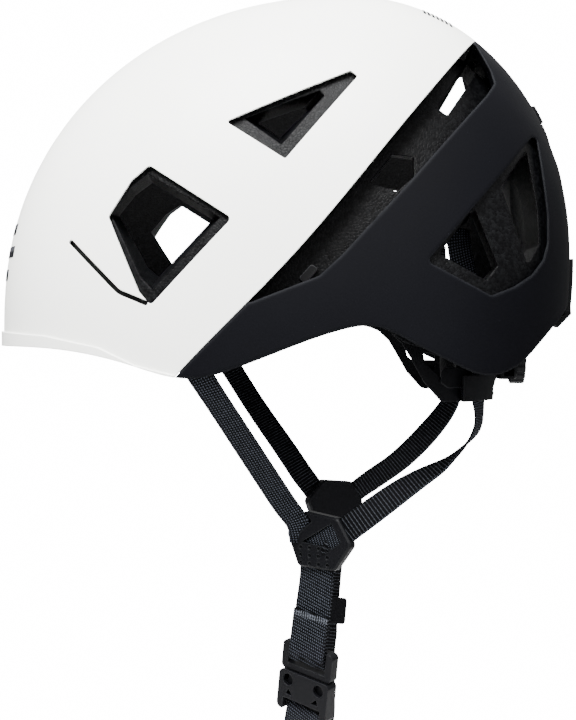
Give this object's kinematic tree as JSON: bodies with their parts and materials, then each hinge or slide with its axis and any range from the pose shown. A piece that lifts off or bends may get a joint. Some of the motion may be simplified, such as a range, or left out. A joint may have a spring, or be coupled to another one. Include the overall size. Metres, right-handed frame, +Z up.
{
  "type": "climbing helmet",
  "caption": "Climbing helmet with a two-piece vented shell over foam, a dial-adjusted nape cradle, a buckled chin strap and a rear headlamp strap.",
  "frame": {"origin": "middle of the head opening, in the mid-plane, level with the brim's lower edge", "axes": "+Z up, -Y the way the wearer faces, +X the wearer's left"},
  "size_m": [0.2142, 0.2838, 0.3727],
  "materials": {
    "shell_white": "satin",
    "shell_black": "matte",
    "foam": "matte",
    "pad_cloth": "matte",
    "webbing": "matte",
    "elastic": "matte",
    "trim_grey": "matte",
    "buckle_plastic": "matte",
    "harness_plastic": "matte"
  },
  "bodies": {
    "helmet": {"front_shell": "shell_white", "rear_shell": "shell_black", "foam_liner": "foam", "brow_pad": "pad_cloth", "lamp_anchor": "harness_plastic", "lamp_elastic": "elastic", "crown_pad_left": "pad_cloth", "crown_pad_right": "pad_cloth", "slot_clip_left": "trim_grey", "slot_clip_right": "trim_grey", "front_tie_left": "harness_plastic", "front_tie_right": "harness_plastic", "rear_tie_left": "harness_plastic", "rear_tie_right": "harness_plastic", "front_webbing_left": "webbing", "front_webbing_right": "webbing", "rear_webbing_left": "webbing", "rear_webbing_right": "webbing"},
    "headband": {"temple_pin_left": "harness_plastic", "temple_pin_right": "harness_plastic", "side_band_left": "harness_plastic", "side_band_right": "harness_plastic"},
    "cradle": {"cradle": "harness_plastic", "dial_cover": "harness_plastic", "nape_pad_left": "pad_cloth", "nape_pad_right": "pad_cloth"},
    "dial": {"dial_knob": "harness_plastic", "dial_pinion": "harness_plastic"},
    "rack_left": {"rack_left": "harness_plastic"},
    "rack_right": {"rack_right": "harness_plastic"},
    "yokes": {"yoke_left": "buckle_plastic", "yoke_right": "buckle_plastic"},
    "chin_strap": {"buckle_male": "buckle_plastic", "chin_webbing_left": "webbing", "chin_webbing_right": "webbing"},
    "strap_slide": {"tri_glide": "buckle_plastic"},
    "lower_buckle": {"buckle_female": "buckle_plastic", "chin_loop": "webbing"},
    "lamp_hook": {"lamp_hook": "harness_plastic"}
  },
  "joints": [
    {"name": "headband_tilt", "type": "hinge", "parent": "helmet", "child": "headband", "pos_m": [0, -0.05, 0.018], "axis": [1, 0, 0], "range_deg": [-6, 8]},
    {"name": "cradle_draw", "type": "slide", "parent": "headband", "child": "cradle", "axis": [0, -1, 0], "range_m": [0, 0.0141], "deforming": ["side_band_left", "side_band_right"]},
    {"name": "dial_turn", "type": "hinge", "parent": "cradle", "child": "dial", "pos_m": [0, 0.113, -0.0046], "axis": [0, -1, 0], "range_deg": [0, 200]},
    {"name": "rack_left_draw", "type": "slide", "parent": "cradle", "child": "rack_left", "axis": [-1, 0, 0], "range_m": [0, 0.017]},
    {"name": "rack_right_draw", "type": "slide", "parent": "cradle", "child": "rack_right", "axis": [1, 0, 0], "range_m": [0, 0.017]},
    {"name": "yoke_swing", "type": "hinge", "parent": "helmet", "child": "yokes", "pos_m": [0, 0.02, -0.013], "axis": [0, 1, 0], "range_deg": [-10, 10], "deforming": ["front_webbing_left", "front_webbing_right", "rear_webbing_left", "rear_webbing_right"]},
    {"name": "chin_swing", "type": "hinge", "parent": "yokes", "child": "chin_strap", "pos_m": [0, 0.02, -0.098], "axis": [1, 0, 0], "range_deg": [-15, 15], "deforming": ["chin_webbing_left", "chin_webbing_right"]},
    {"name": "slide_adjust", "type": "slide", "parent": "chin_strap", "child": "strap_slide", "axis": [-0.1842, 0.0924, 0.9785], "range_m": [-0.008, 0.008]},
    {"name": "buckle_release", "type": "slide", "parent": "chin_strap", "child": "lower_buckle", "axis": [-0.1842, -0.0924, -0.9785], "range_m": [0, 0.02], "deforming": ["chin_loop"]},
    {"name": "hook_pull", "type": "slide", "parent": "helmet", "child": "lamp_hook", "axis": [0, 0, -1], "range_m": [0, 0.008], "stiffness_N_per_m": 300, "deforming": ["lamp_elastic"]}
  ],
  "couplings": [
    {"joint": "cradle_draw", "follows": "dial_turn", "m_per_rad": 0.00401},
    {"joint": "rack_left_draw", "follows": "dial_turn", "m_per_rad": 0.0048},
    {"joint": "rack_right_draw", "follows": "dial_turn", "m_per_rad": 0.0048}
  ]
}
